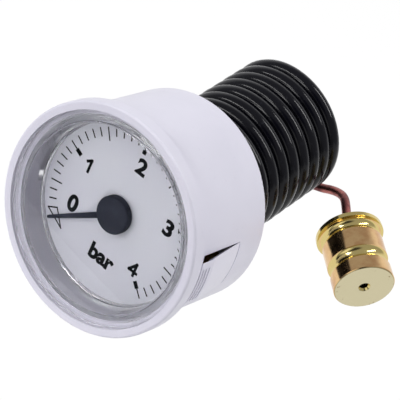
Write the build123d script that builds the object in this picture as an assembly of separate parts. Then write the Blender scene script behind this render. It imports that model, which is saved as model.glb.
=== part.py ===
"""Boiler pressure gauge, 0 to 4 bar, with a coiled capillary and a plug-in fitting.

Millimetres. The origin is on the gauge's axis at the back face of the bezel. +Y runs back
through the panel, +Z is twelve o'clock on the dial and +X is three o'clock seen from the front.
Dial angles run clockwise from twelve o'clock, seen from the front.
"""
import os
from math import atan2, cos, degrees, hypot, pi, radians, sin, sqrt, tan

from build123d import *

# Case: one white plastic moulding with a bezel, a closed back and two sprung tongues
BARREL_R = 19.53
BARREL_R_BACK = 19.35
CASE_L = 20.8
BEZEL_R = 21.0
BEZEL_T = 2.84
LIP_R = 19.42
EDGE_R = 0.45
LENS_SEAT = 0.6
CASE_WALL = 1.23
DIAL_LEDGE = 1.0
BACK_WALL = 1.5
WINDOW_FRONT = 2.65
TONGUE_HALF = 4.72
TONGUE_SLIT = 0.03
TONGUE_WAIST = 0.12
TONGUE_UNDERCUT = 1.3
TONGUE_T = 0.8
TONGUE_ROOT = 13.4
TONGUE_TILT = 7.8
PAD_BACK = 3.74
PAD_TIP = 0.6
PAD_PROUD = 0.15
CREASE_W = 0.25
CREASE_DEEP = 0.2
RIB_AT = (1.35, 2.2, 3.05)
RIB_W = 0.3
RIB_PROUD = 0.15
RIB_HALF = 3.5

# Lens: a clear cup that clips behind the bezel's lip and holds the dial down
LENS_FRONT = 2.5
LENS_T = 1.2
LENS_FIT = 0.12
LENS_WALL = 0.7
LENS_GAP = 0.05

# Dial and pointer
DIAL_Y = 3.6
DIAL_T = 0.6
DIAL_FIT = 0.15
DIAL_HOLE_R = 1.3
POINTER_REST = -127.4
POINTER_TIP_R = 15.7
POINTER_TIP_W = 0.6
POINTER_ROOT_W = 1.2
POINTER_T = 0.25
POINTER_Y = 2.78
HUB_R = 3.5
HUB_FRONT = 1.9
HUB_BACK = 3.28
HUB_EDGE = 0.3
HUB_FLOOR = 0.5

# Movement: two brass plates on three pillars, a toothed sector and a pinion
GEAR_MODULE = 0.25
PINION_TEETH = 8
SECTOR_TEETH = 80
SECTOR_CUT = 9
SECTOR_LEAD = 1
TOOTH_W = 0.24
TOOTH_TIP_W = 0.15
TOOTH_OVER = 0.22
TOOTH_UNDER = 0.34
SECTOR_DIR = 201.3
FRONT_PLATE_Y = 6.4
BACK_PLATE_Y = 12.6
PLATE_T = 1.0
PINION_Y = 9.0
PINION_L = 2.6
SECTOR_Y = 9.9
SECTOR_T = 0.8
ARBOR_R = 0.6
FRONT_PIVOT_R = 0.5
PIVOT_R = 0.4
RUN_FIT = 0.05
END_PLAY = 0.12
PIVOT_OUT = 0.3
SECTOR_HUB_R = 1.5
SECTOR_RIM = 1.6
SECTOR_SPOKE_W = 1.5
TAIL_ARM = 3.0
TAIL_W = 1.7
LINK_DIR = 225.0
LINK_L = 4.6
LINK_T = 0.5
LINK_GAP = 0.3
LINK_END_R = 0.95
LINK_PIN_R = 0.4
LINK_PLAY = 0.05
TIP_PLAY = 0.09
PIN_HEAD_R = 0.65
PIN_HEAD_T = 0.3
SWEEP = 262.4
PILLARS = ((-8.2, 1.5), (2.5, 8.0), (6.5, -8.4))
PILLAR_R = 0.9
PLATE_EDGE = 1.0
PLATE_HUB_R = 2.6
RIVET_R = 0.5
SMALL_HEAD_R = 0.95
SMALL_HEAD_H = 0.6
SLOT_W = 0.25
SLOT_DEEP = 0.3

# Hairspring on the pinion's arbor
SPRING_Y = 7.8
SPRING_H = 0.5
SPRING_W = 0.14
SPRING_STEP = 0.45
SPRING_HALF_TURNS = 8
COLLET_R = 1.1
COLLET_H = 0.9
STUD_R = 0.45

# Bourdon tube, its end pieces and the block it is brazed into
TUBE_R = 13.9
TUBE_W = 1.6
TUBE_H = 5.0
TUBE_WALL = 0.25
TUBE_Y = 10.0
TUBE_FROM = 112.0
TUBE_SWEEP = 239.0
TIP_GRIP = 3.5
TIP_R_IN = 12.9
TIP_R_OUT = 14.9
TIP_OVER = 0.35
EAR_R = 1.1
BLOCK_DIR = 120.0
BLOCK_HALF = 3.6
BLOCK_IN = 8.0
BLOCK_MID = 12.8
BLOCK_OUT = 16.4
BLOCK_FRONT = 7.1
BLOCK_SCREW_AT = 9.8
CASE_SCREW_AT = 11.6
SCREW_SPREAD = 2.0
SCREW_R = 0.6
SCREW_L = 3.0
SCREW_HEAD_R = 1.15
SCREW_HEAD_H = 0.7
CASE_SCREW_R = 0.8
CASE_SCREW_HEAD_R = 1.5
CASE_SCREW_SUNK = 0.15
FEED_BORE_R = 0.45

# Capillary: copper tube in a black sheath, wound into a tight left-hand coil
COPPER_R = 0.8
SHEATH_R = 1.525
HOLE_FIT = 0.075
COIL_AXIS_X = 0.57
COIL_AXIS_Z = 0.45
COIL_YAW = -2.45
COIL_TILT = 14.8
COIL_R = 11.8
COIL_PITCH = 3.1
COIL_START = 4.3
COIL_TURNS = 9
COIL_GROOVE = 0.75
COIL_LAND = 1.2
COIL_CAP_LAND = 0.8
COIL_END_DEG = 72.0
EXIT_X = -5.6
EXIT_Z = -10.5
INNER_TURN_Y = 15.0
FEED_AT = 12.2
FEED_RUN = 4.0

# Brass plug that goes into the boiler's pressure tapping
PLUG_REAR = (23.293, 45.672, 1.108)
PLUG_DIR = (0.8002, -0.5602, -0.2140)
PLUG_FLANGE_R = 6.35
PLUG_FLANGE_T = 1.0
PLUG_R = 5.7
PLUG_L = 13.0
GROOVE_R = 4.8
REAR_GROOVE = (1.0, 3.25)
FRONT_GROOVE = (7.5, 10.05)
PLUG_BORE_R = 0.75
PLUG_SINK_R = 1.15
PLUG_EDGE = 0.2
PLUG_SOCKET = 2.0
TAIL_STRAIGHT = 1.6

BORE_R = BARREL_R - CASE_WALL
DIAL_SEAT = DIAL_Y + DIAL_T
BACK_BORE_R = BORE_R - DIAL_LEDGE
BACK_FLOOR = CASE_L - BACK_WALL
PINION_R = GEAR_MODULE * PINION_TEETH / 2
SECTOR_R = GEAR_MODULE * SECTOR_TEETH / 2
RATIO = SECTOR_TEETH / PINION_TEETH
SECTOR_SWING = SWEEP / RATIO


def at(radius, dial_deg):
    """x and z of a point at a radius and a dial angle."""
    a = radians(dial_deg)
    return radius * sin(a), radius * cos(a)


def turned(profile, arc=360.0):
    """Solid of revolution about the gauge's axis from (radius, y) points."""
    face = make_face(Polyline(*profile, close=True))
    return revolve(face, axis=Axis.Y, revolution_arc=arc)


def rod(x, z, radius, y0, y1):
    """Round bar along Y between two depths."""
    plane = Plane(origin=(x, y0, z), x_dir=(1, 0, 0), z_dir=(0, 1, 0))
    return extrude(plane * Circle(radius), amount=y1 - y0)


def plate(sketch, y0, y1):
    """Extrude a sketch drawn in (x, z), seen from the front, between two depths."""
    plane = Plane(origin=(0, y1, 0), x_dir=(1, 0, 0), z_dir=(0, -1, 0))
    return extrude(plane * sketch, amount=y1 - y0)


def radial_box(dial_deg, r0, r1, half, y0, y1):
    """Box that points out from the axis at a dial angle."""
    x, z = at(1.0, dial_deg)
    plane = Plane(origin=(0, y0, 0), x_dir=(x, 0, z), z_dir=(0, 1, 0))
    middle = Location(((r0 + r1) / 2, 0))
    return extrude(plane * middle * Rectangle(r1 - r0, 2 * half), amount=y1 - y0)


def screw(x, z, head_r, head_h, shank_r, shank_l, y):
    """Slotted pan screw with the head's underside at y and the shank going back."""
    body = rod(x, z, head_r, y - head_h, y) + rod(x, z, shank_r, y - 0.2, y + shank_l)
    cut = Location((x, y - head_h, z)) * Box(3 * head_r, 2 * SLOT_DEEP, SLOT_W)
    return body - cut


def tube(points, radius, inner=0.0):
    """Bent tube along points, with the arc radii that the runs allow."""
    runs = [Vector(*b) - Vector(*a) for a, b in zip(points, points[1:])]
    radii = []
    for a, b in zip(runs, runs[1:]):
        half = radians(a.get_angle(b)) / 2
        radii.append(0.45 * min(a.length, b.length) / tan(half))
    print("bend radii", [round(r, 2) for r in radii])
    path = Polyline(*points) if not radii else FilletPolyline(*points, radius=radii)
    start = Plane(origin=points[0], z_dir=runs[0])
    ring = Circle(radius) - Circle(inner) if inner else Circle(radius)
    return sweep(start * ring, path=path)


# Lines and planes shared by several pieces
SECTOR_AT = at(PINION_R + SECTOR_R, SECTOR_DIR)
MESH_DEG = degrees(atan2(-SECTOR_AT[1], -SECTOR_AT[0]))
PULL = (cos(radians(LINK_DIR)), sin(radians(LINK_DIR)))
TAIL_REST_DEG = LINK_DIR - 90.0 - SECTOR_SWING / 2
TAIL_AT = (
    SECTOR_AT[0] + TAIL_ARM * cos(radians(TAIL_REST_DEG)),
    SECTOR_AT[1] + TAIL_ARM * sin(radians(TAIL_REST_DEG)),
)
TIP_AT = (TAIL_AT[0] + LINK_L * PULL[0], TAIL_AT[1] + LINK_L * PULL[1])
TIP_TRAVEL = 2 * TAIL_ARM * sin(radians(SECTOR_SWING / 2))
LINK_Y = SECTOR_Y - LINK_GAP - LINK_T
PIN_FRONT = LINK_Y - LINK_GAP
BLOCK_SCREWS = []
CASE_SCREWS = []
for side in (-SCREW_SPREAD, SCREW_SPREAD):
    x_in, z_in = at(BLOCK_SCREW_AT, BLOCK_DIR)
    x_out, z_out = at(CASE_SCREW_AT, BLOCK_DIR)
    x_side, z_side = at(side, BLOCK_DIR + 90.0)
    BLOCK_SCREWS.append((x_in + x_side, z_in + z_side))
    CASE_SCREWS.append((x_out + x_side, z_out + z_side))

nodes = {}

# Case
barrel_slope = (BARREL_R - BARREL_R_BACK) / CASE_L
case = turned([
    (LIP_R, -BEZEL_T), (BEZEL_R, -BEZEL_T), (BEZEL_R, 0), (BARREL_R, 0),
    (BARREL_R_BACK, CASE_L), (0, CASE_L), (0, BACK_FLOOR), (BACK_BORE_R, BACK_FLOOR),
    (BACK_BORE_R, DIAL_SEAT), (BORE_R, DIAL_SEAT), (BORE_R, -LENS_SEAT), (LIP_R, -LENS_SEAT),
])
rims = [e for e in case.edges().filter_by(GeomType.CIRCLE) if e.radius > BARREL_R_BACK - 0.01]
rims = [e for e in rims if abs(e.center().Y + BEZEL_T) < 0.01 or abs(e.center().Y - CASE_L) < 0.01]
rims = [e for e in rims if abs(e.radius - LIP_R) > 0.001]
case = fillet(rims, EDGE_R)


def skin(y0, y1, outer, thick, half, shift=0.0):
    """Piece of a tube wall at three o'clock, as wide as twice half outside and undercut inside."""
    ring = turned([(outer - thick, y0), (outer, y0), (outer, y1), (outer - thick, y1)])
    edge_x = sqrt(outer ** 2 - half ** 2)
    reach = 0.9 * half / TONGUE_UNDERCUT
    block = plate(make_face(Polyline(
        (edge_x - reach, -0.1 * half), (edge_x + reach, -1.9 * half), (edge_x + reach, 1.9 * half),
        (edge_x - reach, 0.1 * half), close=True,
    )), y0, y1)
    return Location((shift, 0, 0)) * (ring & block)


window_half = TONGUE_HALF + TONGUE_SLIT
window_mid = (WINDOW_FRONT + TONGUE_ROOT) / 2
window = Box(4 * BARREL_R, TONGUE_ROOT - WINDOW_FRONT, 2 * window_half)
case -= Location((0, window_mid, 0)) * window
tongue_r = BARREL_R - barrel_slope * TONGUE_ROOT
pad_shift = (TONGUE_ROOT - PAD_BACK) * sin(radians(TONGUE_TILT)) + PAD_PROUD
lean_front, lean_back = PAD_BACK - 0.1, TONGUE_ROOT + 0.4
waist = TONGUE_HALF - TONGUE_WAIST
lean_plan = make_face(Polyline(
    (lean_front, -TONGUE_HALF), (lean_back, -waist), (lean_back, waist), (lean_front, TONGUE_HALF),
    close=True,
))
lean = skin(lean_front, lean_back, tongue_r, TONGUE_T, TONGUE_HALF)
lean = lean & extrude(Plane.YZ * lean_plan, amount=2 * BARREL_R)
hinge_line = Axis((tongue_r - TONGUE_T, TONGUE_ROOT, 0), (0, 0, 1))
lean = lean.rotate(hinge_line, TONGUE_TILT)
pad = skin(PAD_TIP, PAD_BACK + 0.3, tongue_r, TONGUE_T, TONGUE_HALF, pad_shift)
tongue = lean + pad
for rib_y in RIB_AT:
    rib_r = tongue_r + RIB_PROUD
    tongue += skin(rib_y - RIB_W / 2, rib_y + RIB_W / 2, rib_r, 0.5, RIB_HALF, pad_shift)
case = case + tongue + mirror(tongue, about=Plane.YZ)
crease = skin(TONGUE_ROOT, TONGUE_ROOT + CREASE_W, tongue_r + PAD_PROUD, PAD_PROUD + CREASE_DEEP, waist)
case -= crease + mirror(crease, about=Plane.YZ)
case -= rod(EXIT_X, EXIT_Z, SHEATH_R + HOLE_FIT, BACK_FLOOR - 1, CASE_L + 1)
sink_depth = CASE_SCREW_HEAD_R - CASE_SCREW_R
for x, z in CASE_SCREWS:
    case -= rod(x, z, CASE_SCREW_R + HOLE_FIT, BACK_FLOOR - 1, CASE_L + 1)
    case -= rod(x, z, CASE_SCREW_HEAD_R + HOLE_FIT, CASE_L - sink_depth - CASE_SCREW_SUNK, CASE_L + 1)
nodes["case"] = case

# Lens
lens_in = BORE_R - LENS_FIT - LENS_WALL
nodes["lens"] = turned([
    (0, -LENS_FRONT), (LIP_R - LENS_FIT, -LENS_FRONT), (LIP_R - LENS_FIT, -LENS_SEAT),
    (BORE_R - LENS_FIT, -LENS_SEAT), (BORE_R - LENS_FIT, DIAL_Y - LENS_GAP),
    (lens_in, DIAL_Y - LENS_GAP), (lens_in, LENS_T - LENS_FRONT), (0, LENS_T - LENS_FRONT),
])

# Dial
dial = rod(0, 0, BORE_R - DIAL_FIT, DIAL_Y, DIAL_SEAT)
nodes["dial"] = dial - rod(0, 0, DIAL_HOLE_R, DIAL_Y - 1, DIAL_SEAT + 1)

# Pointer: hub cap and blade in one moulding
hub = rod(0, 0, HUB_R, HUB_FRONT, HUB_BACK)
hub_edge = [e for e in hub.edges() if abs(e.center().Y - HUB_FRONT) < 0.01]
hub = fillet(hub_edge, HUB_EDGE)
blade_end = POINTER_TIP_R - POINTER_TIP_W / 2
blade_start = HUB_R - 1.0
blade = make_face(Polyline(
    (-POINTER_ROOT_W / 2, blade_start), (POINTER_ROOT_W / 2, blade_start),
    (POINTER_TIP_W / 2, blade_end), (-POINTER_TIP_W / 2, blade_end), close=True,
))
blade += Location((0, blade_end)) * Circle(POINTER_TIP_W / 2)
pointer = plate(Rotation(0, 0, -POINTER_REST) * blade, POINTER_Y, POINTER_Y + POINTER_T)
pointer += hub
nodes["pointer"] = pointer - rod(0, 0, FRONT_PIVOT_R, HUB_FRONT + HUB_FLOOR, HUB_BACK + 1)

# Pinion and its arbor, cut from one bar
mesh_ray = radians(MESH_DEG + 180.0)


def tooth(base_r, pitch_r, tip_r, ray, base_w):
    """One straight-sided tooth in (x, z) along a ray from the gear's centre."""
    pts = []
    for r, w in ((base_r, base_w), (pitch_r, TOOTH_W), (tip_r, TOOTH_TIP_W)):
        pts.append((r * cos(ray) - w / 2 * sin(ray), r * sin(ray) + w / 2 * cos(ray)))
    for r, w in ((tip_r, TOOTH_TIP_W), (pitch_r, TOOTH_W), (base_r, base_w)):
        pts.append((r * cos(ray) + w / 2 * sin(ray), r * sin(ray) - w / 2 * cos(ray)))
    return make_face(Polyline(*pts, close=True))


pinion_root = PINION_R - TOOTH_UNDER
gear = Circle(pinion_root)
for k in range(PINION_TEETH):
    ray = mesh_ray + (k + 0.5) * 2 * pi / PINION_TEETH
    gear += tooth(pinion_root * 0.8, PINION_R, PINION_R + TOOTH_OVER, ray, TOOTH_W * 1.1)
arbor_front = FRONT_PLATE_Y + PLATE_T + END_PLAY
arbor_back = BACK_PLATE_Y - END_PLAY
pinion = plate(gear, PINION_Y, PINION_Y + PINION_L)
pinion += rod(0, 0, ARBOR_R, arbor_front, arbor_back)
pinion += rod(0, 0, FRONT_PIVOT_R, HUB_FRONT + HUB_FLOOR, arbor_front + 0.1)
pinion += rod(0, 0, PIVOT_R, arbor_back - 0.1, BACK_PLATE_Y + PLATE_T + PIVOT_OUT)
nodes["pinion_arbor"] = pinion

# Toothed sector, with the tail that the link pulls
sector_step = 360.0 / SECTOR_TEETH
sector_root = SECTOR_R - TOOTH_UNDER
first = MESH_DEG + SECTOR_LEAD * sector_step
last = first - (SECTOR_CUT - 1) * sector_step
rim_from = last - 0.7 * sector_step
rim_arc = first - last + 1.4 * sector_step
outer_arc = CenterArc((0, 0), sector_root, rim_from, rim_arc)
inner_arc = CenterArc((0, 0), sector_root - SECTOR_RIM, rim_from, rim_arc)
rim = make_face([
    outer_arc, inner_arc, Line(outer_arc @ 0, inner_arc @ 0), Line(outer_arc @ 1, inner_arc @ 1),
])
sector = rim + Circle(SECTOR_HUB_R)
for spoke_deg in (rim_from + 4.0, rim_from + rim_arc - 4.0):
    spoke = Location((sector_root / 2, 0)) * Rectangle(sector_root - 0.4, SECTOR_SPOKE_W)
    sector += Rotation(0, 0, spoke_deg) * spoke
tail = Location((TAIL_ARM / 2, 0)) * Rectangle(TAIL_ARM, TAIL_W)
tail += Location((TAIL_ARM, 0)) * Circle(TAIL_W / 2)
sector += Rotation(0, 0, TAIL_REST_DEG) * tail
for k in range(SECTOR_CUT):
    ray = radians(first - k * sector_step)
    sector += tooth(sector_root - 0.1, SECTOR_R, SECTOR_R + TOOTH_OVER, ray, TOOTH_W * 1.5)
sector -= Circle(ARBOR_R)
sector -= Rotation(0, 0, TAIL_REST_DEG) * Location((TAIL_ARM, 0)) * Circle(LINK_PIN_R)
nodes["sector_gear"] = plate(Location(SECTOR_AT) * sector, SECTOR_Y, SECTOR_Y + SECTOR_T)

# Sector arbor
sx, sz = SECTOR_AT
arbor = rod(sx, sz, ARBOR_R, arbor_front, arbor_back)
arbor += rod(sx, sz, PIVOT_R, FRONT_PLATE_Y - 0.1, BACK_PLATE_Y + PLATE_T + PIVOT_OUT)
nodes["sector_arbor"] = arbor

# Link and the two pins that it turns on
link = Location(TAIL_AT) * Circle(LINK_END_R) + Location(TIP_AT) * Circle(LINK_END_R)
middle = ((TAIL_AT[0] + TIP_AT[0]) / 2, (TAIL_AT[1] + TIP_AT[1]) / 2)
link += Location(middle) * Rotation(0, 0, LINK_DIR) * Rectangle(LINK_L, LINK_END_R * 1.3)
link -= Location(TAIL_AT) * Circle(LINK_PIN_R + LINK_PLAY)
link -= Location(TIP_AT) * Circle(LINK_PIN_R + TIP_PLAY)
nodes["link"] = plate(link, LINK_Y, LINK_Y + LINK_T)
for name, (px, pz) in (("tail_pin", TAIL_AT), ("tip_pin", TIP_AT)):
    pin = rod(px, pz, LINK_PIN_R, PIN_FRONT - 0.05, SECTOR_Y + SECTOR_T)
    nodes[name] = pin + rod(px, pz, PIN_HEAD_R, PIN_FRONT - PIN_HEAD_T, PIN_FRONT)

# Bourdon tube: a flattened hollow tube bent round the movement
half_w, half_h = TUBE_W / 2, TUBE_H / 2
tube_out = RectangleRounded(TUBE_W, TUBE_H, half_w * 0.98)
tube_in = RectangleRounded(TUBE_W - 2 * TUBE_WALL, TUBE_H - 2 * TUBE_WALL, (half_w - TUBE_WALL) * 0.98)
tube_x, tube_z = at(1.0, TUBE_FROM)
tube_plane = Plane(origin=(0, TUBE_Y, 0), x_dir=(tube_x, 0, tube_z), z_dir=(-tube_z, 0, tube_x))
spin_axis = Axis((0, 0, 0), (0, -1, 0))
section_out = tube_plane * Location((TUBE_R, 0)) * tube_out
section_in = tube_plane * Location((TUBE_R, 0)) * tube_in
tube_solid = revolve(section_out, axis=spin_axis, revolution_arc=TUBE_SWEEP)
bourdon = tube_solid - revolve(section_in, axis=spin_axis, revolution_arc=TUBE_SWEEP)
nodes["bourdon_tube"] = bourdon

# Tip piece brazed on the tube's free end, with an ear for the link
end_deg = TUBE_FROM - TUBE_SWEEP
grip_deg = degrees(TIP_GRIP / TUBE_R)
tip_y0 = TUBE_Y - half_h - TIP_OVER
tip_y1 = TUBE_Y + half_h + TIP_OVER
tip = radial_box(end_deg, TIP_R_IN, TIP_R_OUT, TIP_GRIP / 2, tip_y0, tip_y1)
ear_run = hypot(TIP_AT[0] - at(TUBE_R, end_deg)[0], TIP_AT[1] - at(TUBE_R, end_deg)[1])
ear_mid = ((TIP_AT[0] + at(TUBE_R, end_deg)[0]) / 2, (TIP_AT[1] + at(TUBE_R, end_deg)[1]) / 2)
ear_deg = degrees(atan2(TIP_AT[1] - at(TUBE_R, end_deg)[1], TIP_AT[0] - at(TUBE_R, end_deg)[0]))
ear = Location(TIP_AT) * Circle(EAR_R)
ear += Location(ear_mid) * Rotation(0, 0, ear_deg) * Rectangle(ear_run, 2 * EAR_R)
tip += plate(ear, SECTOR_Y, SECTOR_Y + SECTOR_T)
tip -= tube_solid
nodes["tube_tip"] = tip - rod(TIP_AT[0], TIP_AT[1], LINK_PIN_R, SECTOR_Y - 1, SECTOR_Y + SECTOR_T + 1)

# Block: holds the tube, the plates and the capillary, and is screwed to the case's back
block_mid_y = BACK_PLATE_Y + PLATE_T
block = radial_box(BLOCK_DIR, BLOCK_IN, BLOCK_OUT, BLOCK_HALF, block_mid_y, BACK_FLOOR)
block += radial_box(BLOCK_DIR, BLOCK_MID, BLOCK_OUT, BLOCK_HALF, BLOCK_FRONT, block_mid_y)
block -= tube_solid
fx, fz = at(FEED_AT, BLOCK_DIR)
ox, oz = at(1.0, BLOCK_DIR + 90.0)
FEED_POINT = (fx + BLOCK_HALF * ox, INNER_TURN_Y, fz + BLOCK_HALF * oz)
feed_plane = Plane(origin=FEED_POINT, z_dir=(-ox, 0, -oz))
block -= extrude(feed_plane * Circle(FEED_BORE_R), amount=BLOCK_HALF)
for x, z in BLOCK_SCREWS:
    block -= rod(x, z, SCREW_R, block_mid_y - 1, block_mid_y + SCREW_L - PLATE_T)
for x, z in CASE_SCREWS:
    block -= rod(x, z, CASE_SCREW_R, BACK_FLOOR - SCREW_L, BACK_FLOOR + 1)
nodes["socket_block"] = block


def outline(with_block):
    """Plate outline round the pivots, the pillars and, on the back plate, the block's screws."""
    spots = [((0, 0), PLATE_HUB_R), (SECTOR_AT, PIVOT_R + PLATE_EDGE)]
    spots += [(p, PILLAR_R + PLATE_EDGE * 0.5) for p in PILLARS]
    if with_block:
        spots += [(p, SCREW_HEAD_R + 0.1) for p in BLOCK_SCREWS]
    edges = []
    for centre, r in spots:
        edges += (Location(centre) * Circle(r)).edges()
    return make_hull(edges)


# Front and back plates, pillars and screws
pillar_front = FRONT_PLATE_Y + PLATE_T
front = plate(outline(False), FRONT_PLATE_Y, pillar_front)
front -= rod(0, 0, FRONT_PIVOT_R + RUN_FIT, FRONT_PLATE_Y - 1, pillar_front + 1)
front -= rod(sx, sz, PIVOT_R + RUN_FIT, FRONT_PLATE_Y - 1, pillar_front + 1)
back = plate(outline(True), BACK_PLATE_Y, BACK_PLATE_Y + PLATE_T)
back -= rod(0, 0, PIVOT_R + RUN_FIT, BACK_PLATE_Y - 1, BACK_PLATE_Y + PLATE_T + 1)
back -= rod(sx, sz, PIVOT_R + RUN_FIT, BACK_PLATE_Y - 1, BACK_PLATE_Y + PLATE_T + 1)
pillars = Part()
plate_screws = Part()
for x, z in PILLARS:
    front -= rod(x, z, RIVET_R, FRONT_PLATE_Y - 1, pillar_front + 1)
    back -= rod(x, z, RIVET_R, BACK_PLATE_Y - 1, BACK_PLATE_Y + PLATE_T + 1)
    pillar = rod(x, z, PILLAR_R, pillar_front, BACK_PLATE_Y)
    pillar += rod(x, z, RIVET_R, BACK_PLATE_Y - 0.1, BACK_PLATE_Y + PLATE_T)
    pillars += pillar - rod(x, z, RIVET_R, pillar_front - 1, pillar_front + 1.5)
    plate_screws += screw(x, z, SMALL_HEAD_R, SMALL_HEAD_H, RIVET_R, PLATE_T + 1.5, FRONT_PLATE_Y)
block_screws = Part()
for x, z in BLOCK_SCREWS:
    back -= rod(x, z, SCREW_R, BACK_PLATE_Y - 1, BACK_PLATE_Y + PLATE_T + 1)
    block_screws += screw(x, z, SCREW_HEAD_R, SCREW_HEAD_H, SCREW_R, SCREW_L, BACK_PLATE_Y)
nodes["front_plate"] = front
nodes["back_plate"] = back
nodes["plate_pillars"] = pillars
nodes["plate_screws"] = plate_screws
nodes["block_screws"] = block_screws

# Case screws, sunk in the back
case_screws = Part()
sunk_y = CASE_L - CASE_SCREW_SUNK
for x, z in CASE_SCREWS:
    piece = rod(x, z, CASE_SCREW_HEAD_R, sunk_y - sink_depth, sunk_y)
    piece += rod(x, z, CASE_SCREW_R, BACK_FLOOR - SCREW_L, sunk_y - 0.1)
    piece -= Location((x, sunk_y, z)) * Box(4 * CASE_SCREW_HEAD_R, 2 * SLOT_DEEP, SLOT_W)
    case_screws += piece
nodes["case_screws"] = case_screws

# Hairspring of half rings, its collet and its stud
spring = Part()
spring_r = COLLET_R + SPRING_W / 2
for k in range(SPRING_HALF_TURNS):
    centre_x = 0.0 if k % 2 == 0 else -SPRING_STEP / 2
    arc_from = 0.0 if k % 2 == 0 else 180.0
    turn_out = CenterArc((centre_x, 0), spring_r + SPRING_W / 2, arc_from, 180.0)
    turn_in = CenterArc((centre_x, 0), spring_r - SPRING_W / 2, arc_from, 180.0)
    half_ring = make_face([
        turn_out, turn_in, Line(turn_out @ 0, turn_in @ 0), Line(turn_out @ 1, turn_in @ 1),
    ])
    spring += plate(half_ring, SPRING_Y, SPRING_Y + SPRING_H)
    spring_end = centre_x + spring_r if k % 2 else centre_x - spring_r
    spring_r += SPRING_STEP / 2
nodes["hairspring"] = spring
collet = rod(0, 0, COLLET_R, arbor_front + 0.05, arbor_front + 0.05 + COLLET_H)
nodes["hairspring_collet"] = collet - rod(0, 0, ARBOR_R, arbor_front - 1, arbor_front + 3)
stud_x = spring_end + STUD_R + SPRING_W / 2
nodes["hairspring_stud"] = rod(stud_x, 0, STUD_R, pillar_front, SPRING_Y + SPRING_H + 0.1)

# Capillary
yaw, rise = radians(COIL_YAW), radians(COIL_TILT)
AXIS = Vector(sin(yaw), cos(yaw) * cos(rise), cos(yaw) * sin(rise))
SIDE = (Vector(1, 0, 0) - AXIS * AXIS.X).normalized()
DOWN = AXIS.cross(SIDE)
COIL_BASE = Vector(COIL_AXIS_X, CASE_L, COIL_AXIS_Z)


def on_coil(along, deg):
    """Point on the coil's centreline, by its distance along the axis and its angle."""
    a = radians(deg)
    return COIL_BASE + AXIS * along + (SIDE * cos(a) + DOWN * sin(a)) * COIL_R


coil_end = COIL_START + (COIL_TURNS + (90.0 - COIL_END_DEG) / 360.0) * COIL_PITCH
coil_in = on_coil(COIL_START, 90.0)
coil_out = on_coil(coil_end, COIL_END_DEG)
LEAD = [
    (EXIT_X, BACK_FLOOR, EXIT_Z),
    (EXIT_X, coil_in.Y, EXIT_Z),
    (coil_in.X, coil_in.Y, coil_in.Z),
]
nodes["capillary_lead"] = tube(LEAD, SHEATH_R, COPPER_R)
feed_back = (FEED_POINT[0] + FEED_RUN * ox, INNER_TURN_Y, FEED_POINT[2] + FEED_RUN * oz)
INNER = [
    (EXIT_X, BACK_FLOOR, EXIT_Z), (EXIT_X, INNER_TURN_Y, EXIT_Z), feed_back, FEED_POINT,
]
nodes["inner_capillary"] = tube(INNER, COPPER_R)

coil_profile = []
outer_r, inner_r = COIL_R + SHEATH_R, COIL_R - SHEATH_R
flank = (COIL_PITCH - COIL_LAND) / 2
for k in range(COIL_TURNS):
    s0 = COIL_START + k * COIL_PITCH
    coil_profile += [(outer_r - COIL_GROOVE, s0), (outer_r, s0 + flank)]
    coil_profile += [(outer_r, s0 + flank + COIL_LAND)]
coil_top = COIL_START + COIL_TURNS * COIL_PITCH
coil_cap = coil_end + SHEATH_R
coil_profile += [(outer_r - COIL_GROOVE, coil_top), (outer_r, coil_cap - COIL_CAP_LAND)]
coil_profile += [(outer_r, coil_cap), (inner_r, coil_cap), (inner_r, COIL_START)]
coil_face = make_face(Polyline(*coil_profile, close=True))
coil_body = revolve(coil_face, axis=Axis.Y)
coil_plane = Plane(origin=COIL_BASE, x_dir=SIDE, z_dir=-DOWN)
nodes["capillary_coil"] = coil_plane.location * coil_body

plug_y = Vector(*PLUG_DIR).normalized()
TAIL = [
    (coil_out.X, coil_out.Y, coil_out.Z),
    (10.22, 53.99, 0.35),
    (13.17, 53.64, 2.0),
    (16.07, 52.44, 3.1),
    (18.3, 50.24, 3.11),
    tuple(Vector(*PLUG_REAR) - plug_y * TAIL_STRAIGHT),
    tuple(Vector(*PLUG_REAR) + plug_y * PLUG_SOCKET),
]
nodes["capillary_tail"] = tube(TAIL, COPPER_R)

# Plug: turned brass with two ring grooves and a pressure hole
plug_face = Polyline(
    (0, 0), (PLUG_FLANGE_R, 0), (PLUG_FLANGE_R, PLUG_FLANGE_T), (PLUG_R, PLUG_FLANGE_T),
    (PLUG_R, PLUG_L), (0, PLUG_L), close=True,
)
plug = revolve(make_face(plug_face), axis=Axis.Y)
for y0, y1 in (REAR_GROOVE, FRONT_GROOVE):
    deep = PLUG_R - GROOVE_R
    groove_r = ((y1 - y0) ** 2 / 4 + deep ** 2) / (2 * deep)
    ring = Location((GROOVE_R + groove_r, (y0 + y1) / 2)) * Circle(groove_r)
    plug -= revolve(ring, axis=Axis.Y)
plug -= rod(0, 0, PLUG_BORE_R, PLUG_SOCKET, PLUG_L + 1)
plug -= rod(0, 0, COPPER_R, -1, PLUG_SOCKET)
plug -= turned([
    (0, PLUG_L - PLUG_SINK_R), (PLUG_SINK_R, PLUG_L), (PLUG_SINK_R, PLUG_L + 0.1), (0, PLUG_L + 0.1),
])
plug_edges = [e for e in plug.edges().filter_by(GeomType.CIRCLE) if e.radius > PLUG_R - 0.01]
plug_edges = [e for e in plug_edges if e.center().Y < 0.01 or e.center().Y > PLUG_L - 0.01]
plug = chamfer(plug_edges, PLUG_EDGE)
plug_z = plug_y.cross(Vector(1, 0, 0)).normalized()
plug_plane = Plane(origin=PLUG_REAR, x_dir=plug_y.cross(plug_z), z_dir=plug_z)
nodes["plug_fitting"] = plug_plane.location * plug

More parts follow.
